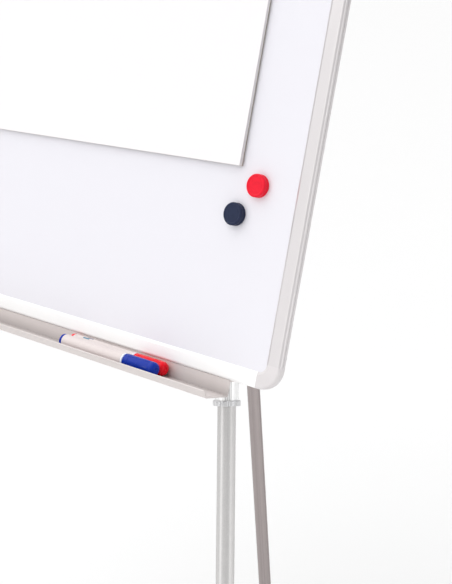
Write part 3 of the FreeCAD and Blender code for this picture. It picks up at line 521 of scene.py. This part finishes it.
class EaselPadSettings(bpy.types.PropertyGroup):
    sheet: colour_setting("Paper", "Colour of the sheets", (0.85, 0.83, 0.84))
    back_card: colour_setting("Back card", "Colour of the chipboard back", (0.36, 0.31, 0.24))
    curl: bpy.props.FloatProperty(name="Corner curl", description="How far the front sheets' corner lifts",
                                  default=0.0008, min=0, unit="LENGTH")
    leaves: bpy.props.IntProperty(name="Leaves", description="Bundles of sheets that the block is made of",
                                  default=9, min=2, max=40)


class EaselMagnetSettings(bpy.types.PropertyGroup):
    red: colour_setting("Red", "Colour of the red magnet", (0.82, 0.008, 0.03))
    navy: colour_setting("Navy", "Colour of the navy magnet", (0.016, 0.024, 0.06))
    height: bpy.props.FloatProperty(name="Height", description="Height of a magnet above the panel",
                                    default=0.0075, min=0.004, unit="LENGTH")


class EaselMarkerSettings(bpy.types.PropertyGroup):
    barrel: colour_setting("Barrel", "Colour of the barrels", (0.74, 0.665, 0.65))
    red: colour_setting("Red", "Colour of the red cap and tail", (0.85, 0.002, 0.016))
    blue: colour_setting("Blue", "Colour of the blue cap and tail", (0.002, 0.028, 0.34))
    groove: bpy.props.FloatProperty(name="Cap groove", description="Depth of the ring round each cap",
                                    default=0.0003, min=0, unit="LENGTH")


class EaselLegSettings(bpy.types.PropertyGroup):
    upper: colour_setting("Upper tube", "Colour of the fluted upper tubes", (0.98, 0.98, 0.98))
    lower: colour_setting("Lower tube", "Colour of the brushed lower tubes", (0.63, 0.62, 0.615))
    # The rear tubes are the front tubes' aluminium, given a darker colour as painted shade
    rear: colour_setting("Rear tube, painted shade", "Colour of the rear leg's tubes, darkened as painted shade", (0.4, 0.355, 0.35))
    collar: colour_setting("Collar", "Colour of the twist collars", (0.66, 0.66, 0.67))
    fitting: colour_setting("Fittings", "Colour of the head, saddles and leg tops", (0.13, 0.135, 0.145))
    foot: colour_setting("Feet", "Colour of the rubber feet", (0.035, 0.035, 0.036))


class EaselStageSettings(bpy.types.PropertyGroup):
    azimuth: bpy.props.FloatProperty(name="Azimuth", description="Camera's turn about the vertical",
                                     default=math.radians(40.17), subtype="ANGLE")
    pitch: bpy.props.FloatProperty(name="Pitch", description="How far the camera looks down",
                                   default=math.radians(17.21), subtype="ANGLE")
    lens: bpy.props.FloatProperty(name="Lens", description="Focal length for a 36 mm sensor, in millimetres",
                                  default=66.6, min=10)
    offset: bpy.props.FloatVectorProperty(name="Camera place", subtype="TRANSLATION", unit="LENGTH",
                                          description="Camera from the board's lower right front corner",
                                          default=(0.5799, -0.7595, 0.3984))
    floor_size: bpy.props.FloatProperty(name="Floor", description="Side of the floor",
                                        default=400, unit="LENGTH")
    room: bpy.props.FloatProperty(name="Room", description="Strength of the light from all round",
                                  default=0.62, min=0)
    lean: bpy.props.FloatProperty(name="Lean", description="How much brighter the room is at front left",
                                  default=0.3, min=0, max=1)
    overhead: bpy.props.FloatProperty(name="Overhead",
                                      description="Strength of the soft light from above left",
                                      default=1.5, min=0)
    strips: bpy.props.FloatProperty(name="Strips", description="Power of the two upright strip lights",
                                    default=8, min=0, unit="POWER")


SETTINGS = {
    "easel_board": EaselBoardSettings,
    "easel_tray": EaselTraySettings,
    "easel_clamp": EaselClampSettings,
    "easel_pad": EaselPadSettings,
    "easel_magnets": EaselMagnetSettings,
    "easel_markers": EaselMarkerSettings,
    "easel_legs": EaselLegSettings,
    "easel_stage": EaselStageSettings,
}


# ---------------------------------------------------------------- operators

class EASEL_OT_stage(bpy.types.Operator):
    """Sets the floor, the soft lights and the camera"""
    bl_idname = "easel.stage"
    bl_label = "Stage"

    def execute(self, context):
        stage = context.scene.easel_stage
        self.lay_floor(stage)
        self.hang_lights(context)
        self.place_camera(context, stage)
        return {"FINISHED"}

    def lay_floor(self, stage):
        built = bmesh.new()
        bmesh.ops.create_grid(built, x_segments=1, y_segments=1, size=stage.floor_size / 2)
        mesh = bpy.data.meshes.new("floor")
        built.to_mesh(mesh)
        built.free()
        finish = Finish("studio_floor", (0.97, 0.97, 0.97), 0.9)
        finish.paint(finish.noise(finish.space(), 3), (0.96, 0.96, 0.96))
        mesh.materials.append(finish.material)
        floor = bpy.data.objects.new("floor", mesh)
        bpy.context.scene.collection.objects.link(floor)

    def hang_lights(self, context):
        stage = context.scene.easel_stage
        context.scene.world = self.light_room(stage)
        context.scene.view_settings.view_transform = "Standard"
        sky = self.hang(context, "overhead", "SUN", (-1.3, -1.2, 3.2), (0, 0, 0), stage.overhead)
        sky.angle = math.radians(70)
        distance, height, aim_height = 2.6, 1.1, 0.9
        for name, turn in (("left_strip", -52), ("right_strip", 55)):
            across = stage.azimuth + math.radians(turn)
            place = (distance * math.sin(across), -distance * math.cos(across), height)
            strip = self.hang(context, name, "AREA", place, (0, 0, aim_height), stage.strips)
            strip.shape = "RECTANGLE"
            strip.size = 0.45
            strip.size_y = 2.4

    def light_room(self, stage):
        """White walls all round, seen white, that throw most light from the front left."""
        world = bpy.data.worlds.new("studio")
        world.use_nodes = True
        nodes, links = world.node_tree.nodes, world.node_tree.links
        lit = nodes["Background"]
        where = nodes.new("ShaderNodeTexCoord")
        across = nodes.new("ShaderNodeVectorMath")
        across.operation = "DOT_PRODUCT"
        brightest = stage.azimuth + math.radians(30)
        dim, bright = stage.room * (1 - stage.lean), stage.room * (1 + stage.lean)
        across.inputs[1].default_value = (-math.cos(brightest), -math.sin(brightest), 0)
        fall = nodes.new("ShaderNodeMapRange")
        for socket, number in zip(("From Min", "From Max", "To Min", "To Max"), (-1, 1, dim, bright)):
            fall.inputs[socket].default_value = number
        seen = nodes.new("ShaderNodeBackground")
        choice = nodes.new("ShaderNodeMixShader")
        ray = nodes.new("ShaderNodeLightPath")
        for background in (lit, seen):
            background.inputs["Color"].default_value = (1, 1, 1, 1)
        links.new(where.outputs["Generated"], across.inputs[0])
        links.new(across.outputs["Value"], fall.inputs["Value"])
        links.new(fall.outputs["Result"], lit.inputs["Strength"])
        links.new(ray.outputs["Is Camera Ray"], choice.inputs["Fac"])
        links.new(lit.outputs["Background"], choice.inputs[1])
        links.new(seen.outputs["Background"], choice.inputs[2])
        links.new(choice.outputs["Shader"], nodes["World Output"].inputs["Surface"])
        return world

    def hang(self, context, name, kind, place, aim, power):
        """Hangs a lamp at a place, aimed at a point."""
        lamp = bpy.data.lights.new(name, kind)
        lamp.energy = power
        hung = bpy.data.objects.new(name, lamp)
        hung.location = place
        hung.rotation_euler = (Vector(aim) - Vector(place)).to_track_quat("-Z", "Y").to_euler()
        context.scene.collection.objects.link(hung)
        return lamp

    def place_camera(self, context, stage):
        right_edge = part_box("frame_right")[1][0] / MM
        camera = bpy.data.objects.new("camera", bpy.data.cameras.new("camera"))
        camera.data.lens = stage.lens
        camera.data.sensor_width = 36
        camera.data.clip_end = 100
        camera.location = on_board(right_edge, 0, 0) + Vector(stage.offset)
        camera.rotation_euler = Euler((math.pi / 2 - stage.pitch, 0, stage.azimuth))
        context.scene.collection.objects.link(camera)
        context.scene.camera = camera


class EASEL_OT_board(bpy.types.Operator):
    """Finishes the panel, its rails and its corner caps"""
    bl_idname = "easel.board"
    bl_label = "Board"

    def execute(self, context):
        board = context.scene.easel_board
        dress("writing_panel", enamel("writing enamel", board.enamel))
        dress("panel_core", card("honeycomb card", board.honeycomb))
        dress("back_panel", galvanised("zinc back sheet", board.zinc))
        up_the_board = board_turn @ Vector((0, 0, 1))
        # One anodised aluminium in two colours: the upright rails darker as painted shade, the level rails
        # near white as painted light
        upright = extrusion("rail anodising upright", board.upright_rail_shaded_colour, up_the_board, 0.4, 0.7)
        level = extrusion("rail anodising level", board.level_rail_lit_colour, ALONG, 0.45, 0.2)
        for node, finish in (("frame_left", upright), ("frame_right", upright),
                             ("frame_top", level), ("frame_bottom", level)):
            dress(node, finish)
        cap = moulded("corner moulding", board.corner, 0.55)
        for place in ("bottom_left", "bottom_right", "top_left", "top_right"):
            dress(f"corner_{place}", cap)
        return {"FINISHED"}


class EASEL_OT_tray(bpy.types.Operator):
    """Finishes the pen tray"""
    bl_idname = "easel.tray"
    bl_label = "Pen tray"

    def execute(self, context):
        tray = context.scene.easel_tray
        finish = extrusion("tray anodising", tray.metal, ALONG, 0.55, 0.25)
        inner_corner = on_board(0, 1.4, -15.5)
        corner = finish.space(scale=(0, 1, 1), turn=(BOARD_TILT, 0, 0), centre=inner_corner)
        reach = finish.node("ShaderNodeVectorMath", operation="LENGTH")
        finish.link(corner, reach.inputs[0])
        # Painted shade: the tray's wall and floor are darkened near their inner corner, where shade falls
        painted_corner_shade = finish.spread(reach.outputs["Value"], (0.0005, tray.corner_shade_reach), (0.5, 0))
        finish.paint(painted_corner_shade, shade(tray.metal, 0.5))
        dress("pen_tray", finish)
        return {"FINISHED"}


class EASEL_OT_clamp(bpy.types.Operator):
    """Finishes the pad clamp and the sliding hooks"""
    bl_idname = "easel.clamp"
    bl_label = "Pad clamp"

    def execute(self, context):
        clamp = context.scene.easel_clamp
        metal = extrusion("clamp anodising", clamp.metal, ALONG)
        moulding = moulded("bracket moulding", clamp.bracket)
        dress("clamp_rail", metal)
        softened("clamp_bar", metal, "clamp", 0.0003)
        softened("clamp_end_brackets", moulding, "board", 0.0005)
        dress("clamp_hinge_rod", plated("hinge rod", (0.6, 0.6, 0.62)))
        dress("clamp_grip_strip", rubber("grip rubber", clamp.grip))
        hook = plated("hook plating", (0.66, 0.66, 0.67))
        for side in ("left", "right"):
            softened(f"pad_hook_{side}", hook, f"hook_{side}", 0.0002)
        return {"FINISHED"}


class EASEL_OT_pad(bpy.types.Operator):
    """Makes the paper pad: its leaves, the front ones lifting at a corner, and its back card"""
    bl_idname = "easel.pad"
    bl_label = "Paper pad"

    def execute(self, context):
        pad = context.scene.easel_pad
        sheet = paper("pad paper", pad.sheet)
        dress("pad_back_card", card("pad chipboard", pad.back_card))
        low, high = self.block_corners()
        depth = (high.y - low.y) / pad.leaves
        block = bmesh.new()
        for index in range(pad.leaves):
            self.add_leaf(block, pad, index, low, high, depth)
        keep("pad_leaves", block, sheet, "pad", ("pad_sheets",), 30)
        return {"FINISHED"}

    def block_corners(self):
        """Two opposite corners of the block of sheets in the board's own frame, front low left and
        back high right."""
        sheets = frame["nodes"]["pad_sheets"].data
        corners = [board_place.inverted() @ vertex.co for vertex in sheets.vertices]
        return [Vector(end(corner[axis] for corner in corners) for axis in range(3)) for end in (min, max)]

    def add_leaf(self, block, pad, index, low, high, depth):
        """A thin copy of the block, a little out of line with its neighbours; the front ones lift
        at a corner."""
        filled = 0.94
        across, up = 0.0004, 0.0003
        lifted = 3
        leaf = bmesh.new()
        leaf.from_mesh(frame["nodes"]["pad_sheets"].data)
        bmesh.ops.transform(leaf, matrix=board_place.inverted(), verts=leaf.verts)
        bmesh.ops.remove_doubles(leaf, verts=leaf.verts, dist=SAME_PLACE)
        bmesh.ops.translate(leaf, verts=leaf.verts, vec=(0, -low.y, 0))
        bmesh.ops.scale(leaf, verts=leaf.verts, vec=(1, filled / pad.leaves, 1))
        sway = across * (math.sin(2.4 * index + 0.6) - 1)
        rise = up * abs(math.sin(1.7 * index))
        bmesh.ops.translate(leaf, verts=leaf.verts, vec=(sway, low.y + index * depth, rise))
        if index < lifted:
            self.curl_corner(leaf, low, high, pad.curl * (lifted - index) / lifted)
        bmesh.ops.transform(leaf, matrix=board_place, verts=leaf.verts)
        thin = bpy.data.meshes.new("leaf")
        leaf.to_mesh(thin)
        leaf.free()
        block.from_mesh(thin)
        bpy.data.meshes.remove(thin)

    def curl_corner(self, leaf, low, high, lift):
        """Lifts the leaf's lower right corner, after cutting it finely enough to bend."""
        reach, cuts = 0.14, 10
        for cut in range(1, cuts + 1):
            away = reach * cut / cuts
            upright = (high.x - away, 0, 0), (1, 0, 0)
            level = (0, 0, low.z + away), (0, 0, 1)
            for place, normal in (upright, level):
                bmesh.ops.bisect_plane(leaf, geom=leaf.verts[:] + leaf.edges[:] + leaf.faces[:],
                                       plane_co=place, plane_no=normal)
        for vertex in leaf.verts:
            from_corner = math.hypot(high.x - vertex.co.x, vertex.co.z - low.z)
            share = max(0.0, 1 - from_corner / reach)
            vertex.co.y -= lift * share * share


class EASEL_OT_magnets(bpy.types.Operator):
    """Makes the two board magnets' caps and finishes their discs"""
    bl_idname = "easel.magnets"
    bl_label = "Magnets"

    def execute(self, context):
        magnets = context.scene.easel_magnets
        ferrite = moulded("sintered ferrite", (0.02, 0.02, 0.022), 0.6)
        for colour in ("red", "navy"):
            cap, disc = f"{colour}_magnet_cap", f"{colour}_magnet_disc"
            outline = self.cap_outline(half_width(cap), magnets.height / MM, half_width(disc))
            base = middle(cap) + board_back * magnets.height / 2
            shape = spun(outline, pointing(-board_back, base), 64)
            finish = gloss(f"{colour} magnet plastic", getattr(magnets, colour), 0.45, 0.82)
            piece = keep(f"{colour}_magnet", shape, finish, f"{colour}_magnet", (cap,))
            rounded(piece, 0.0003)
            dress(disc, ferrite)
        return {"FINISHED"}

    def cap_outline(self, radius, top, disc):
        """A round cap with a waist and a dished top, and a recess underneath for its disc."""
        recess, waist, rounding, dish = 2.4, 0.5, 0.9, 0.5
        return [(0, recess), (disc, recess), (disc, 0), (radius, 0), (radius, 2),
                (radius - waist, 2.6), (radius - waist, 3.4), (radius, 4),
                (radius, top - rounding), (radius - rounding, top),
                (radius - 2.2, top), (radius - 2.9, top - dish), (0, top - dish)]


class EASEL_OT_markers(bpy.types.Operator):
    """Makes the two markers' barrels and caps and finishes their tails and nibs"""
    bl_idname = "easel.markers"
    bl_label = "Markers"

    def execute(self, context):
        for colour in COLOURS:
            self.make_marker(context.scene.easel_markers, colour)
        return {"FINISHED"}

    def make_marker(self, markers, colour):
        """One marker, laid out in millimetres along x from the end of its tail."""
        barrel, cap, tail = (f"{colour}_marker_{part}" for part in ("barrel", "cap", "tail"))
        ink = getattr(markers, colour)
        plastic = gloss(f"{colour} marker plastic", ink, 0.14)
        dress(tail, plastic)
        dress(f"{colour}_marker_nib", felt(f"{colour} felt", shade(ink, 0.8)))
        start = Vector((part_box(tail)[0][0], *middle(barrel)[1:]))
        axis = pointing(ALONG, start)
        tail_end, neck_end = ((corner[0] - start.x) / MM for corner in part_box(barrel))
        mouth, length = ((corner[0] - start.x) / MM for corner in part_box(cap))
        printed = self.printed_barrel(colour, markers.barrel, start, mouth - 2.5)
        outline = self.barrel_outline(half_height(barrel), tail_end, mouth - 1, neck_end)
        piece = keep(f"{colour}_barrel", spun(outline, axis), printed, f"{colour}_marker",
                     (barrel,))
        rounded(piece, 0.00015, 2)
        outline = self.cap_outline(half_height(cap), mouth, length, neck_end, markers.groove / MM)
        piece = keep(f"{colour}_marker_cap_shell", spun(outline, axis), plastic, f"{colour}_cap",
                     (cap,))
        rounded(piece, 0.0002)

    def barrel_outline(self, outer, tail, body_end, neck_end):
        """A tube with a shallow ring near the cap's seat and a thinner neck for the nib."""
        wall, neck, nib, ring = 1.4, 5.8, 2.5, 0.15
        bore, neck_bore = outer - wall, neck - wall
        return [(bore, tail), (outer, tail), (outer, body_end - 3),
                (outer - ring, body_end - 2.8), (outer - ring, body_end - 2.3), (outer, body_end - 2.1),
                (outer, body_end), (neck, body_end + 0.8), (neck, neck_end - 6), (nib + 1.2, neck_end),
                (nib, neck_end), (nib, neck_end - 8), (neck_bore, neck_end - 9),
                (neck_bore, body_end - 4), (bore, body_end - 6)]

    def cap_outline(self, wide, mouth, length, neck_end, groove):
        """A cap with a banded mouth, a groove, a ring near the end and a round end with a dimple."""
        inner, dimple = 5.85, 0.7
        side, ring = wide - 0.05, wide - 0.2
        return [(0, length - dimple), (1.6, length - dimple), (2.2, length), (3.6, length - 0.15),
                (5.2, length - 0.9), (6.5, length - 2.2), (wide - 0.3, length - 3.9),
                (wide - 0.1, length - 5.6), (side, length - 7), (ring, length - 7.3),
                (ring, length - 7.8), (side, length - 8.1), (side, mouth + 7.4),
                (wide - groove, mouth + 7.2), (wide - groove, mouth + 6.5), (wide, mouth + 6.3),
                (wide, mouth), (inner, mouth), (inner, neck_end - 6), (inner - 1, neck_end + 10),
                (0, neck_end + 12)]

    def printed_barrel(self, colour, body, start, lip):
        """Off-white plastic with a bluish-white painted highlight at its lip by the cap; the red one has two
        plain bars near its tail.
        """
        finish = gloss(f"{colour} marker barrel", body, 0.4, 0.96)
        x, y, z = finish.parts(finish.space(scale=IN_MILLIMETRES, centre=start))
        if colour == "red":
            top = finish.spread(z, (5, 5.4), (0, 1))
            for ends, sides, print_ink in (((18, 27), (-1.8, 0.2), (0.05, 0.22, 0.34)),
                                           ((23, 31), (1, 2.8), (0.02, 0.05, 0.2))):
                bar = finish.math("MULTIPLY", finish.band(x, *ends, 0.4), finish.band(y, *sides, 0.3))
                finish.paint(finish.math("MULTIPLY", top, bar), print_ink)
        # Painted highlight: a bluish-white band along the barrel's lip at the cap
        finish.paint(finish.spread(x, (lip - 0.2, lip), (0, 1)), (0.86, 0.9, 0.97))
        return finish


class EASEL_OT_head(bpy.types.Operator):
    """Finishes the tripod head, the leg saddles and the fasteners"""
    bl_idname = "easel.head"
    bl_label = "Head and saddles"

    def execute(self, context):
        legs = context.scene.easel_legs
        casting = moulded("head moulding", legs.fitting, 0.55, 900, 0.00008)
        softened("tripod_head", casting, "board", 0.001, 3)
        softened("leg_saddles", casting, "board", 0.0006)
        plate = plated("screw plating", (0.62, 0.62, 0.64))
        for fastener in ("board_screws", "pivot_bolts", "pivot_nuts"):
            dress(fastener, plate)
        return {"FINISHED"}


class EASEL_OT_legs(bpy.types.Operator):
    """Finishes the three telescopic legs"""
    bl_idname = "easel.legs"
    bl_label = "Legs"

    def execute(self, context):
        legs = context.scene.easel_legs
        fitting = moulded("leg top moulding", legs.fitting, 0.5)
        collar = moulded("collar moulding", legs.collar, 0.3, 1500, 0.00002, 0.6)
        collet = moulded("collet moulding", (0.6, 0.6, 0.58), 0.4)
        bush = moulded("bush moulding", (0.03, 0.03, 0.03), 0.5)
        foot = rubber("foot rubber", legs.foot)
        for name in LEGS:
            axis = leg_axis(name)
            centre = Vector(joint(f"{name}_collar_twist")["pos_m"])
            # The rear leg's tubes get a darker copy of the tube colour as painted shade
            if name == "rear":
                sideways, outer, inner = ALONG, legs.rear, legs.rear
            else:
                sideways, outer, inner = board_back, legs.upper, legs.lower
            upper = fluted(f"{name} upper tube anodising", outer, axis, sideways, centre)
            lower = knurled(f"{name} lower tube brushing", inner, axis, centre)
            for part, finish in (("leg_top", fitting), ("upper_tube", upper), ("collet", collet),
                                 ("collar", collar), ("lower_tube", lower), ("slide_bush", bush),
                                 ("foot", foot)):
                dress(f"{name}_{part}", finish)
        return {"FINISHED"}


STEPS = (EASEL_OT_stage, EASEL_OT_board, EASEL_OT_tray, EASEL_OT_clamp, EASEL_OT_pad, EASEL_OT_magnets,
         EASEL_OT_markers, EASEL_OT_head, EASEL_OT_legs)


class EASEL_PT_panel(bpy.types.Panel):
    """Lists the easel's steps in the 3D view's sidebar"""
    bl_idname = "EASEL_PT_panel"
    bl_label = "Flipchart easel"
    bl_space_type = "VIEW_3D"
    bl_region_type = "UI"
    bl_category = "Easel"

    def draw(self, context):
        for step in STEPS:
            self.layout.operator(step.bl_idname)
        for name, group in SETTINGS.items():
            column = self.layout.column(heading=name.replace("_", " "))
            for setting in group.__annotations__:
                column.prop(getattr(context.scene, name), setting)


def register():
    for item in (*SETTINGS.values(), *STEPS, EASEL_PT_panel):
        bpy.utils.register_class(item)
    for name, group in SETTINGS.items():
        setattr(bpy.types.Scene, name, bpy.props.PointerProperty(type=group))


def unregister():
    for name in SETTINGS:
        delattr(bpy.types.Scene, name)
    for item in reversed((*SETTINGS.values(), *STEPS, EASEL_PT_panel)):
        bpy.utils.unregister_class(item)


def main():
    register()
    for step in STEPS:
        group, action = step.bl_idname.split(".")
        getattr(getattr(bpy.ops, group), action)()


if __name__ == "__main__":
    main()
